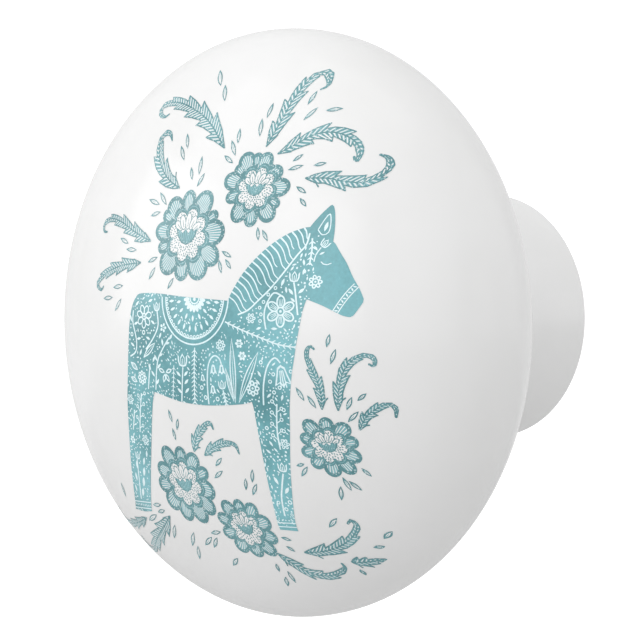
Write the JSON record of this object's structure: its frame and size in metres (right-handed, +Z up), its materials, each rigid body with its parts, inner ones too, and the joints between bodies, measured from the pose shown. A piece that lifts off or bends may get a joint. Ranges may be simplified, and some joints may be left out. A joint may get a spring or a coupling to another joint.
{
  "type": "ceramic cabinet knob",
  "caption": "Round domed ceramic pull knob on a waisted shank, printed with a folk-craft horse and flowers, fixed through a door by a machine screw.",
  "frame": {"origin": "middle of the foot face that rests on the door, on the knob's axis", "axes": "+Z up; the knob stands out from the door along -Y, with its printed face looking along -Y; +Y goes into the door, along the screw; +X to the right as the face is seen"},
  "size_m": [0.038, 0.0352, 0.038],
  "materials": {
    "glaze": "gloss",
    "cement": "matte",
    "brass": "satin",
    "zinc_plate": "satin"
  },
  "bodies": {
    "knob": {"knob_body": "glaze", "cement_bed": "cement", "threaded_insert": "brass"},
    "washer": {"flat_washer": "zinc_plate"},
    "screw": {"mounting_screw": "zinc_plate"}
  },
  "joints": [
    {"name": "screw_advance", "type": "slide", "parent": "knob", "child": "washer", "axis": [0, 1, 0], "range_m": [0, 0.018]},
    {"name": "screw_turn", "type": "hinge", "parent": "washer", "child": "screw", "pos_m": [0, 0, 0], "axis": [0, 1, 0], "range_deg": [0, 9258]}
  ],
  "couplings": [
    {"joint": "screw_turn", "follows": "screw_advance", "rad_per_m": 8976}
  ]
}
